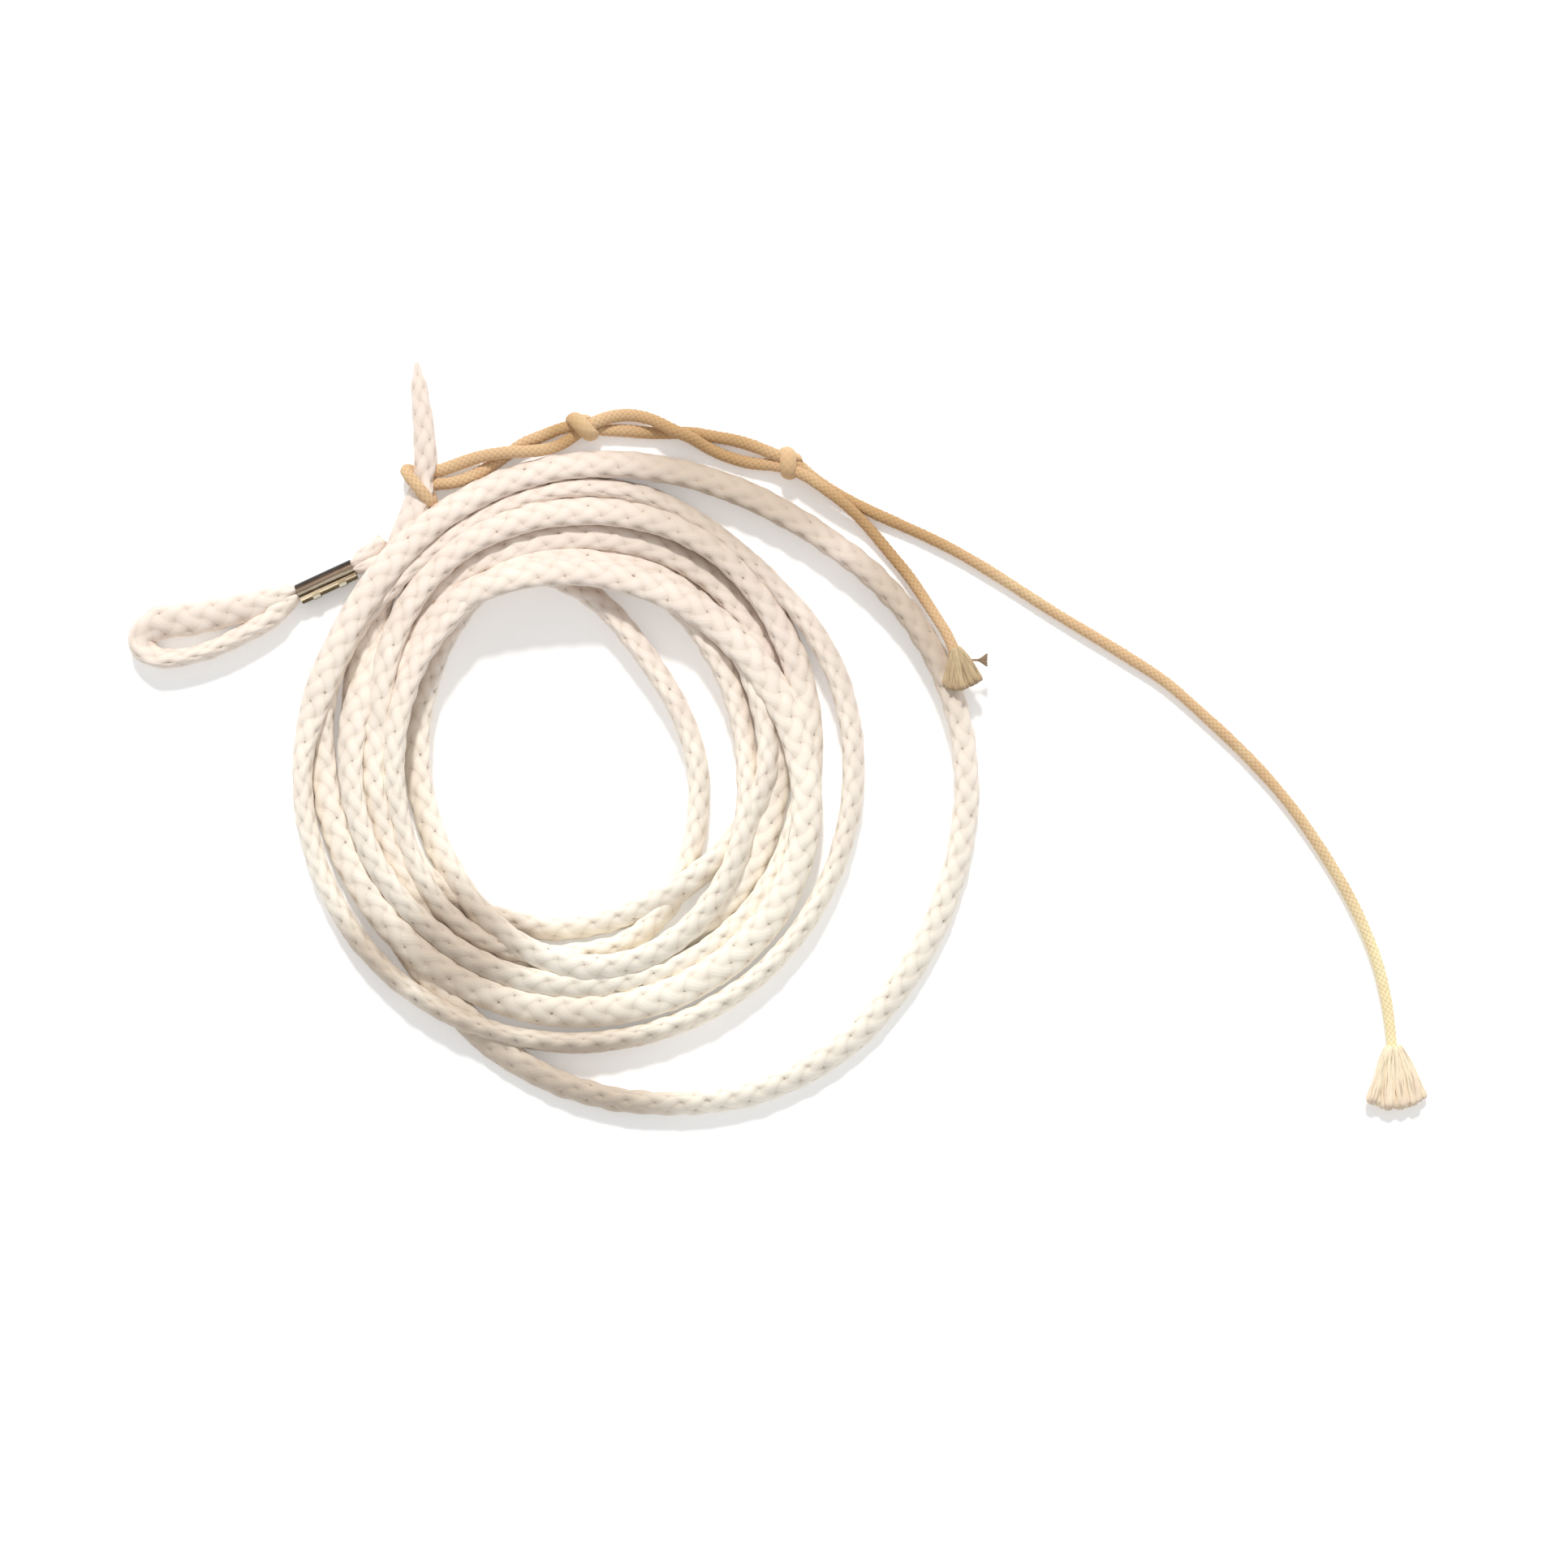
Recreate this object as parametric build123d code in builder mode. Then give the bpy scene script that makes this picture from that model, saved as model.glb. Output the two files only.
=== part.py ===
"""A soft hollow-braid line with a crimped eye, coiled flat, and a thin cord hitched to its tail.

The frame is Z up, in millimetres. Its origin is the centre of the coil on the surface it lies on.
"""
import math
import os

from build123d import *

# Driving dimensions
ROPE_DIAMETER = 6.0        # round section of the same area as the flattened braid
CORD_DIAMETER = 2.8        # thin lashing cord
COIL_HEIGHT = 12.5         # height of the bundle of turns
COIL_EDGE = 4.5            # rounding of the bundle's upper edges
COIL_FOOT = 1.5            # rounding of the bundle's lower edges
FERRULE_LENGTH = 14.2
FERRULE_WALL = 0.5
FERRULE_WIDTH = 4.4        # the crimp presses its two strands into one oval
FERRULE_HEIGHT = 5.2
FERRULE_ANGLE = 24.8       # the ferrule's heading in the XY plane, degrees
SEAM_GAP = 0.4             # open seam along the ferrule's side
PRONG_LENGTH = 1.8         # each clenched prong, along the ferrule
PRONG_DEPTH = 0.8          # each prong, across the flange
PRONG_STANDOUT = 0.2       # how far a prong bulges past the flange's edge
PRONG_SPACING = 6.7
FLANGE_THICKNESS = 0.5     # folded edge that closes the seam
FLANGE_DEPTH = 0.9
EYE_DIAMETER = 5.2         # the line is drawn thin round the eye and along the tail
STUB_DIAMETER = 3.4        # cut end of the line, squeezed where it leaves the ferrule
TAIL_DIAMETER = 5.2
TIP_LENGTH = 13.0
TIP_END_DIAMETER = 1.4
TIP_END_ROUNDING = 0.55
KNOT_DIAMETER = 6.2
KNOT_LENGTH = 4.2
KNOT_EDGE = 1.5
TASSEL_THICKNESS = 2.4
CORE_STRAND_DIAMETER = 1.0
CORE_TUFT_DIAMETER = 2.3
FLANGE_EDGE = FERRULE_WIDTH / 2 + FLANGE_DEPTH - FERRULE_WALL
RUN_SHARE = 0.45           # share of the shorter run that each bend's arc takes

# The coil's turns: radius of the centre line every 30 degrees round from +X, counter-clockwise
TURN_STEP = 30
COIL_OUTSIDE = [55.0, 59.0, 59.5, 60.0, 67.0, 66.0, 68.5, 69.0, 68.0, 61.0, 60.5, 58.5]
COIL_INSIDE = [35.7, 38.0, 41.5, 45.0, 44.5, 38.0, 34.8, 34.8, 37.5, 34.2, 32.9, 35.9]

# Free turns: first angle, radii and heights above the floor at each step
OUTER_TURN_START = 240
OUTER_TURN = [60.0, 76.0, 87.4, 90.8, 90.6, 83.2, 74.3, 70.3, 67.0, 60.0]
OUTER_TURN_RISE = [0, 0, 0, 0, 0, 0, 0, 0, 2.5, 3.5]
SECOND_TURN_START = 240
SECOND_TURN = [60.0, 65.0, 64.2, 64.0, 64.0, 63.3, 63.2, 65.2, 57.0]
SECOND_TURN_RISE = [5.0, 3.5, 1.0, 0, 0, 0, 0, 0, 0]
INNER_TURN_START = 300
INNER_TURN = [40.5, 31.0, 27.4, 26.6, 30.0, 43.5]
INNER_TURN_RISE = [0, 0, 0, 0, 0, 0]

# Routes of the free stretches: x, y, height of the centre line
TAIL_ROUTE = [
    (-36.9, 81.7, 2.6), (-36.1, 76.0, 2.8), (-36.0, 70.4, 4.6), (-37.4, 65.6, 5.9),
    (-39.3, 61.4, 5.9), (-40.5, 57.0, 5.4), (-41.8, 52.6, 5.2), (-43.3, 48.1, 5.2),
]
EYE_UPPER_LEG = [
    (-65.7, 41.1, 2.9), (-69.3, 39.3, 2.9), (-75.2, 37.4, 2.8), (-82.8, 36.1, 2.7), (-91.4, 34.4, 2.7),
    (-98.2, 32.8, 2.7), (-102.2, 29.4, 2.7),
]
EYE_LOWER_LEG = [
    (-102.2, 29.4, 2.7), (-99.6, 25.9, 2.7), (-91.8, 25.5, 2.7), (-83.6, 28.2, 2.7), (-75.4, 32.2, 2.8),
    (-68.6, 37.1, 2.9), (-65.0, 39.5, 2.9),
]
STUB_ROUTE = [(-52.8, 47.1, 2.9), (-50.2, 48.3, 2.9), (-47.8, 50.3, 2.9), (-46.0, 52.6, 2.9)]
STANDING_ROUTE = [(-52.3, 45.9, 2.9), (-49.0, 47.4, 2.9), (-45.4, 48.4, 2.9), (-41.6, 48.6, 2.9)]

UPPER_LEG = [
    (-34.8, 68.6, 1.45), (-29.5, 70.3, 2.2), (-23.8, 72.3, 3.0), (-17.4, 73.3, 4.8), (-11.7, 73.4, 4.6),
    (-6.7, 74.2, 2.8), (-2.9, 76.0, 2.4), (-0.4, 78.0, 2.6),
]
LOWER_LEG = [
    (-35.8, 65.8, 1.45), (-28.8, 66.3, 1.45), (-23.8, 68.4, 1.45), (-20.3, 70.6, 1.45), (-16.8, 73.0, 1.45),
    (-13.6, 75.4, 1.45), (-9.2, 77.2, 1.45), (-4.8, 78.9, 2.2), (-0.9, 79.9, 2.8),
]
UPPER_SPAN = [
    (2.3, 79.6, 4.2), (4.8, 80.9, 3.4), (8.7, 82.1, 2.2), (12.7, 82.2, 2.2), (17.3, 80.9, 3.8),
    (21.9, 78.3, 5.0), (25.8, 76.9, 4.0), (29.8, 74.5, 1.8), (34.4, 72.4, 1.45), (40.1, 70.8, 1.45),
    (45.8, 70.5, 2.2), (48.1, 70.6, 2.4),
]
LOWER_SPAN = [
    (2.5, 79.4, 1.9), (4.8, 78.7, 1.45), (10.5, 78.6, 1.45), (16.2, 78.0, 1.45), (21.3, 78.0, 1.45),
    (26.4, 78.1, 1.45), (30.4, 77.3, 1.45), (36.1, 76.4, 1.45), (41.2, 74.8, 1.8), (45.8, 72.7, 3.4),
    (48.1, 71.8, 4.0),
]
SHORT_TAIL = [
    (51.5, 68.7, 4.4), (57.4, 64.6, 4.6), (62.1, 61.1, 4.0), (67.1, 56.4, 2.0), (71.8, 50.7, 1.45),
    (76.8, 44.8, 1.45), (80.4, 39.4, 2.6), (83.6, 34.2, 5.6), (86.2, 29.9, 7.6), (87.0, 27.0, 7.9),
]
LONG_TAIL = [
    (54.3, 67.6, 1.45), (61.2, 63.1, 1.45), (69.4, 59.0, 1.45), (75.1, 56.5, 1.45), (84.6, 52.2, 1.45),
    (92.2, 48.0, 1.45), (101.7, 42.0, 1.45), (111.2, 35.8, 1.45), (120.7, 30.2, 1.45), (130.2, 24.3, 1.45),
    (137.2, 19.8, 1.45), (144.6, 13.2, 1.45), (155.2, 3.4, 1.45), (165.0, -7.3, 1.45), (173.1, -18.8, 1.45),
    (180.5, -31.2, 1.45), (185.6, -42.8, 1.45), (188.2, -52.3, 1.45), (189.6, -61.8, 1.45),
    (189.4, -66.0, 1.45),
]

# Places of the pieces on the lines
FERRULE_CENTRE = (-59.14, 43.36, 2.9)
HITCH_CENTRE = (-37.6, 66.8, 5.8)
HITCH_RADIUS = 4.25        # centre line of the wrap round the tail
HITCH_HEADING = -56.3      # direction of the wrap across the tail, degrees
NEAR_KNOT = (1.1, 79.8, 3.2)
NEAR_KNOT_HEADING = 12.0
FAR_KNOT = (49.4, 70.9, 3.2)
FAR_KNOT_HEADING = -14.0
SHORT_TASSEL = [(85.2, 27.8), (89.0, 26.2), (94.6, 21.0), (88.0, 17.1), (84.2, 22.4)]
SHORT_TASSEL_FLOOR = 6.4
LONG_TASSEL_ROOT = (189.6, -66.4, 1.7)
LONG_TASSEL_END = (190.6, -79.8, 2.3)
LONG_TASSEL_WIDTH = 13.6
LONG_TASSEL_HEIGHT = 4.6
CORE_STRAND_START = (91.6, 24.6, 7.9)
CORE_STRAND_LENGTH = 2.6
CORE_STRAND_TUFT_END = 4.4


def on_turn(first_angle, radii, rises, floor):
    """Points of a turn, its corners set outside so that the rounded line has the given radius."""
    outward = 1 / math.cos(math.radians(TURN_STEP / 2))
    points = []
    for step, (radius, rise) in enumerate(zip(radii, rises)):
        angle = math.radians(first_angle + step * TURN_STEP)
        reach = radius * outward
        points.append((reach * math.cos(angle), reach * math.sin(angle), floor + rise))
    return points


def bend_radii(points):
    """The largest tangent arc at each corner of a route that its two runs allow."""
    corners = [Vector(*point) for point in points]
    radii = []
    for before, corner, after in zip(corners, corners[1:], corners[2:]):
        half_turn = math.radians((corner - before).get_angle(after - corner) / 2)
        shorter = min((corner - before).length, (after - corner).length)
        radii.append(RUN_SHARE * shorter / math.tan(half_turn))
    return radii


def report_tube(name, solid, path, diameter):
    """Print a tube's length, and its volume over its section times its length."""
    length = sum(edge.length for edge in path.edges())
    full = math.pi / 4 * diameter ** 2 * length
    print(f"{name}: length {length:.1f} mm, volume ratio {solid.volume / full:.3f}")


def tube(name, points, diameter):
    """A round tube along straight runs joined by tangent arcs."""
    radii = bend_radii(points)
    with BuildPart() as piece:
        with BuildLine() as path:
            FilletPolyline(*points, radius=radii)
        with BuildSketch(Plane(origin=path.line @ 0, z_dir=path.line % 0)):
            Circle(diameter / 2)
        sweep()
    print(f"{name}: bend radii", " ".join(f"{radius:.1f}" for radius in radii))
    report_tube(name, piece.part, path.line, diameter)
    return piece


def without(piece, *others):
    """The piece with its neighbours' shapes cut away, so that they meet face to face."""
    with BuildPart() as cut:
        add(piece.part)
        for other in others:
            add(other.part, mode=Mode.SUBTRACT)
    return cut


def save(piece, name):
    piece.part.label = name
    export_step(piece.part, f"parts/{name}.step")


def ring_outline(radii):
    """Points of a closed outline round the coil's centre."""
    return [
        (radius * math.cos(math.radians(step * TURN_STEP)), radius * math.sin(math.radians(step * TURN_STEP)))
        for step, radius in enumerate(radii)
    ]


os.makedirs("parts", exist_ok=True)

# The bundle of turns: one closed ring, flat where it rests
with BuildPart() as rope_coil:
    with BuildSketch():
        with BuildLine():
            Spline(*ring_outline(COIL_OUTSIDE), periodic=True)
        make_face()
        with BuildLine():
            Spline(*ring_outline(COIL_INSIDE), periodic=True)
        make_face(mode=Mode.SUBTRACT)
    extrude(amount=COIL_HEIGHT)
    fillet(rope_coil.faces().sort_by(Axis.Z)[-1].edges(), radius=COIL_EDGE)
    fillet(rope_coil.faces().sort_by(Axis.Z)[0].edges(), radius=COIL_FOOT)
save(rope_coil, "rope_coil")

# Free turns that lie apart from the bundle and run into it
rope_floor = ROPE_DIAMETER / 2
outer_points = on_turn(OUTER_TURN_START, OUTER_TURN, OUTER_TURN_RISE, rope_floor)
rope_outer_turn = without(tube("rope_outer_turn", outer_points, ROPE_DIAMETER), rope_coil)
second_points = on_turn(SECOND_TURN_START, SECOND_TURN, SECOND_TURN_RISE, rope_floor)
rope_second_turn = without(tube("rope_second_turn", second_points, ROPE_DIAMETER), rope_coil)
inner_points = on_turn(INNER_TURN_START, INNER_TURN, INNER_TURN_RISE, rope_floor)
rope_inner_turn = without(tube("rope_inner_turn", inner_points, ROPE_DIAMETER), rope_coil)
save(rope_outer_turn, "rope_outer_turn")
save(rope_second_turn, "rope_second_turn")
save(rope_inner_turn, "rope_inner_turn")

# The tail runs under the hitch and into the bundle, and tapers to a point at its free end
tail_tube = tube("rope_tail", TAIL_ROUTE, TAIL_DIAMETER)
rope_tail = without(tail_tube, rope_coil, rope_outer_turn)
save(rope_tail, "rope_tail")

tip_start = Vector(*TAIL_ROUTE[0])
tip_heading = (tip_start - Vector(*TAIL_ROUTE[1])).normalized()
with BuildPart() as rope_tip:
    with BuildSketch(Plane(origin=tip_start, z_dir=tip_heading)):
        Circle(TAIL_DIAMETER / 2)
    with BuildSketch(Plane(origin=tip_start + tip_heading * TIP_LENGTH, z_dir=tip_heading)):
        Circle(TIP_END_DIAMETER / 2)
    loft()
    fillet(rope_tip.faces().sort_by(Axis.Y)[-1].edges(), radius=TIP_END_ROUNDING)
save(rope_tip, "rope_tip")

# The ferrule: a sleeve rolled from sheet round both strands, its edges folded out into a seam flange
ferrule_heading = Vector(1, 0, 0).rotate(Axis.Z, FERRULE_ANGLE)
ferrule_plane = Plane(
    origin=FERRULE_CENTRE,
    x_dir=ferrule_heading.rotate(Axis.Z, -90),
    z_dir=ferrule_heading,
)
with BuildPart() as crimp_ferrule:
    with BuildSketch(ferrule_plane):
        Ellipse(FERRULE_WIDTH / 2, FERRULE_HEIGHT / 2)
        with Locations((FLANGE_EDGE - FLANGE_DEPTH / 2, 0)):
            Rectangle(FLANGE_DEPTH, SEAM_GAP + 2 * FLANGE_THICKNESS)
        with Locations((FERRULE_WIDTH / 2, 0)):
            Rectangle(4 * FLANGE_DEPTH, SEAM_GAP, mode=Mode.SUBTRACT)
        Ellipse(FERRULE_WIDTH / 2 - FERRULE_WALL, FERRULE_HEIGHT / 2 - FERRULE_WALL, mode=Mode.SUBTRACT)
    extrude(amount=FERRULE_LENGTH / 2, both=True)
    for along in (-PRONG_SPACING / 2, PRONG_SPACING / 2):
        with BuildSketch(ferrule_plane.offset(along)):
            with Locations((FLANGE_EDGE + PRONG_STANDOUT - PRONG_DEPTH / 2, 0)):
                Rectangle(PRONG_DEPTH, SEAM_GAP + 4 * FLANGE_THICKNESS)
        extrude(amount=PRONG_LENGTH / 2, both=True)
save(crimp_ferrule, "crimp_ferrule")

# Both strands of the line, pressed together inside the ferrule
with BuildPart() as rope_crimped_strands:
    with BuildSketch(ferrule_plane):
        Ellipse(FERRULE_WIDTH / 2 - FERRULE_WALL, FERRULE_HEIGHT / 2 - FERRULE_WALL)
    extrude(amount=FERRULE_LENGTH / 2, both=True)
save(rope_crimped_strands, "rope_crimped_strands")

# The eye: two legs that meet at its bow and close against the ferrule's end
ferrule_end = Plane(origin=ferrule_plane.origin - ferrule_heading * FERRULE_LENGTH / 2, z_dir=ferrule_heading)
ferrule_mouth = Plane(origin=ferrule_plane.origin + ferrule_heading * FERRULE_LENGTH / 2, z_dir=ferrule_heading)
with BuildPart() as rope_eye:
    add(tube("rope_eye upper leg", EYE_UPPER_LEG, EYE_DIAMETER).part)
    add(tube("rope_eye lower leg", EYE_LOWER_LEG, EYE_DIAMETER).part)
    split(bisect_by=ferrule_end, keep=Keep.BOTTOM)
save(rope_eye, "rope_eye")

with BuildPart() as standing_tube:
    add(tube("rope_standing_part", STANDING_ROUTE, EYE_DIAMETER).part)
    split(bisect_by=ferrule_mouth, keep=Keep.TOP)
rope_standing_part = without(standing_tube, rope_coil, rope_tail)
save(rope_standing_part, "rope_standing_part")

with BuildPart() as stub_tube:
    add(tube("rope_end_stub", STUB_ROUTE, STUB_DIAMETER).part)
    split(bisect_by=ferrule_mouth, keep=Keep.TOP)
rope_end_stub = without(stub_tube, rope_standing_part, rope_coil, rope_tail)
save(rope_end_stub, "rope_end_stub")

# The lashing cord: a wrap round the tail, two knots, and its free lengths
hitch_plane = Plane(
    origin=HITCH_CENTRE,
    x_dir=Vector(1, 0, 0).rotate(Axis.Z, HITCH_HEADING),
    z_dir=Vector(1, 0, 0).rotate(Axis.Z, HITCH_HEADING + 90),
)
with BuildPart() as hitch_ring:
    with BuildSketch(Plane(origin=hitch_plane.from_local_coords((HITCH_RADIUS, 0, 0)), z_dir=hitch_plane.y_dir)):
        Circle(CORD_DIAMETER / 2)
    revolve(axis=Axis(origin=hitch_plane.origin, direction=hitch_plane.z_dir))
lashing_hitch = without(hitch_ring, tail_tube)
save(lashing_hitch, "lashing_hitch")


def knot(place, heading):
    """A small overhand knot as one rounded drum on the cord's line."""
    with BuildPart() as piece:
        with BuildSketch(Plane(origin=place, z_dir=Vector(1, 0, 0).rotate(Axis.Z, heading))):
            Circle(KNOT_DIAMETER / 2)
        extrude(amount=KNOT_LENGTH / 2, both=True)
        fillet(piece.edges().filter_by(GeomType.CIRCLE), radius=KNOT_EDGE)
    return piece


lashing_knot_near = knot(NEAR_KNOT, NEAR_KNOT_HEADING)
lashing_knot_far = knot(FAR_KNOT, FAR_KNOT_HEADING)
save(lashing_knot_near, "lashing_knot_near")
save(lashing_knot_far, "lashing_knot_far")

upper_leg_tube = tube("lashing_upper_leg", UPPER_LEG, CORD_DIAMETER)
lower_leg_tube = tube("lashing_lower_leg", LOWER_LEG, CORD_DIAMETER)
lashing_upper_leg = without(upper_leg_tube, lashing_hitch, rope_tail, lashing_knot_near)
lashing_lower_leg = without(lower_leg_tube, lashing_hitch, rope_tail, lashing_knot_near, lashing_upper_leg)
save(lashing_upper_leg, "lashing_upper_leg")
save(lashing_lower_leg, "lashing_lower_leg")

upper_span_tube = tube("lashing_upper_span", UPPER_SPAN, CORD_DIAMETER)
lower_span_tube = tube("lashing_lower_span", LOWER_SPAN, CORD_DIAMETER)
lashing_upper_span = without(upper_span_tube, lashing_knot_near, lashing_knot_far)
lashing_lower_span = without(lower_span_tube, lashing_knot_near, lashing_knot_far, lashing_upper_span)
save(lashing_upper_span, "lashing_upper_span")
save(lashing_lower_span, "lashing_lower_span")

lashing_short_tail = without(tube("lashing_short_tail", SHORT_TAIL, CORD_DIAMETER), lashing_knot_far)
long_tail_tube = tube("lashing_long_tail", LONG_TAIL, CORD_DIAMETER)
lashing_long_tail = without(long_tail_tube, lashing_knot_far, lashing_short_tail)
save(lashing_short_tail, "lashing_short_tail")
save(lashing_long_tail, "lashing_long_tail")

# Frayed ends: a flat fan that rests on the outer turn, and a longer bell
with BuildPart() as fan:
    with BuildSketch(Plane.XY.offset(SHORT_TASSEL_FLOOR)):
        with BuildLine():
            Polyline(*SHORT_TASSEL, close=True)
        make_face()
    extrude(amount=TASSEL_THICKNESS)
short_tassel = without(fan, lashing_short_tail, rope_outer_turn)
save(short_tassel, "short_tassel")

core_start = Vector(*CORE_STRAND_START)
core_heading = Vector(1, 0, 0)
with BuildPart() as core_strand:
    with BuildSketch(Plane(origin=core_start, z_dir=core_heading)):
        Circle(CORE_STRAND_DIAMETER / 2)
    extrude(amount=CORE_STRAND_LENGTH)
    with BuildSketch(Plane(origin=core_start + core_heading * CORE_STRAND_LENGTH, z_dir=core_heading)):
        Circle(CORE_STRAND_DIAMETER / 2)
    with BuildSketch(Plane(origin=core_start + core_heading * CORE_STRAND_TUFT_END, z_dir=core_heading)):
        Circle(CORE_TUFT_DIAMETER / 2)
    loft()
cord_core_strand = without(core_strand, short_tassel)
save(cord_core_strand, "cord_core_strand")

bell_heading = (Vector(*LONG_TASSEL_END) - Vector(*LONG_TASSEL_ROOT)).normalized()
with BuildPart() as bell:
    with BuildSketch(Plane(origin=LONG_TASSEL_ROOT, x_dir=(1, 0, 0), z_dir=bell_heading)):
        Circle(CORD_DIAMETER / 2)
    with BuildSketch(Plane(origin=LONG_TASSEL_END, x_dir=(1, 0, 0), z_dir=bell_heading)):
        Ellipse(LONG_TASSEL_WIDTH / 2, LONG_TASSEL_HEIGHT / 2)
    loft()
long_tassel = without(bell, lashing_long_tail)
save(long_tassel, "long_tassel")
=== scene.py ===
"""A soft hollow-braid line with a crimped eye, coiled flat, and a thin tan cord hitched to its tail.

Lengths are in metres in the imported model's frame: Z up, origin at the coil's centre on the floor.
"""
import math
import random

import bmesh
import bpy
import numpy as np
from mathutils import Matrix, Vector


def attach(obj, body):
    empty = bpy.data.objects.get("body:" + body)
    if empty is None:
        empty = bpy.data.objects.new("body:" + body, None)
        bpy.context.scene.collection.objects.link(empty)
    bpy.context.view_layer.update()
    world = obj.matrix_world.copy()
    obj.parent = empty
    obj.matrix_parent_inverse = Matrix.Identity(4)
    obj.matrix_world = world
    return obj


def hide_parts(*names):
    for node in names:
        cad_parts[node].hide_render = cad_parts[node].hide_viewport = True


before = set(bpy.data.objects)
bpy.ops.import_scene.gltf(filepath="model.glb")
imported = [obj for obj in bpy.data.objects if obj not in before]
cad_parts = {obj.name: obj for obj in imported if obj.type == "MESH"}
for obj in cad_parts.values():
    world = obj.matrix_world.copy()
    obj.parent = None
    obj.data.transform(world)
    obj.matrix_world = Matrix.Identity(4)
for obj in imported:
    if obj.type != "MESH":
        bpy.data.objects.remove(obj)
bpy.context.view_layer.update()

MM = 0.001

# ------------------------------------------------------------------ sizes

ROPE_WIDE = 7.8 * MM           # its oval, lying flat
ROPE_THIN = 4.6 * MM
ROPE_LAY = 25.0 * MM           # a strand goes once round the line in this length
ROPE_STRANDS = 4               # strands laid each way
ROPE_CROWN = 0.64 * MM         # how far a strand's round back stands up
ROPE_WEAVE = 0.11 * MM         # and how far it rises and dives between the others
ROPE_RING_STEP = 1.0 * MM      # between two rings of the line's skin
ROPE_SIDES = 32
CORD_NOMINAL = 2.8 * MM
CORD_LAY = 8.4 * MM
CORD_STRANDS = 6
CORD_CROWN = 0.22 * MM
CORD_WEAVE = 0.04 * MM
CORD_RING_STEP = 0.3 * MM
CORD_SIDES = 28
FERRULE_HEADING = math.radians(24.8)
FERRULE_ACROSS = 63.95 * MM    # the sleeve's axis from the origin, square to its heading
FERRULE_HALF = 2.45 * MM
PRONG_TOP = 3.8 * MM            # only the prongs stand this high over the flange
STRAND_REACH = 0.54            # half a strand's round back, in strand widths
TURN_STEP = 15                 # degrees between two points of the coil
TURN_OUTWARD = 1 / math.cos(math.radians(TURN_STEP / 2))  # the spline cuts inside its points
CAMERA_PLACE = (47.7, -4.0, 866.8)  # straight above, in mm
SQUASH = 0.58                  # soft braid gives where it lies on braid
ROPE_PIT = 0.3 * MM            # depth of a pinhole between strands
CORD_PIT = 0.03 * MM
ROPE_FULL_WIDTH = 5.5 * MM     # a narrower oval has shallower relief, in proportion
KNOT_WIDE = 3.7 * MM           # the cord's oval where a knot flattens it
KNOT_THIN = 2.8 * MM
KNOT_RELIEF = 0.4              # of the cord's own relief: the knot pulls its braid smooth
KNOT_SLIDE = 2.6               # mm that a knot's wrap travels along the bundle
CURVE_STEPS = 14               # straight pieces in a knot's wrap, and in a yarn
SLIVER = 1e-9                  # keeps a ring of no size from having no direction
LEAST_HEIGHT = 0.05 * MM       # the skins' lowest points over the floor
CORD_LEAST_HEIGHT = 0.03 * MM
YARN_LEAST_HEIGHT = 0.02 * MM

# How often each pattern changes, in changes to the metre
PULLS_PER_METRE = 210.0        # strands are pulled tight or slack about every 5 mm
PATCHES_PER_METRE = 60.0       # handled patches, about 17 mm across
FIBRES_PER_METRE = 3200.0      # loose fibres; real ones are too fine to show, so these are 0.3 mm
CLUMPS_PER_METRE = 420.0       # combed yarns lie in clumps of about 2.4 mm
BLOTCHES_PER_METRE = 500.0     # blotches of about 2 mm that break up the painted reflection and shade bands on the ferrule
ROLLED_LINES = (90.0, 2400.0, 2400.0)  # rolling lines 11 mm long and 0.4 mm apart
YARN_STREAKS = (9.0, 1.2, 1.0)  # fibres round and along one yarn's own skin

# ------------------------------------------------------------------ the line's route, in mm

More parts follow.
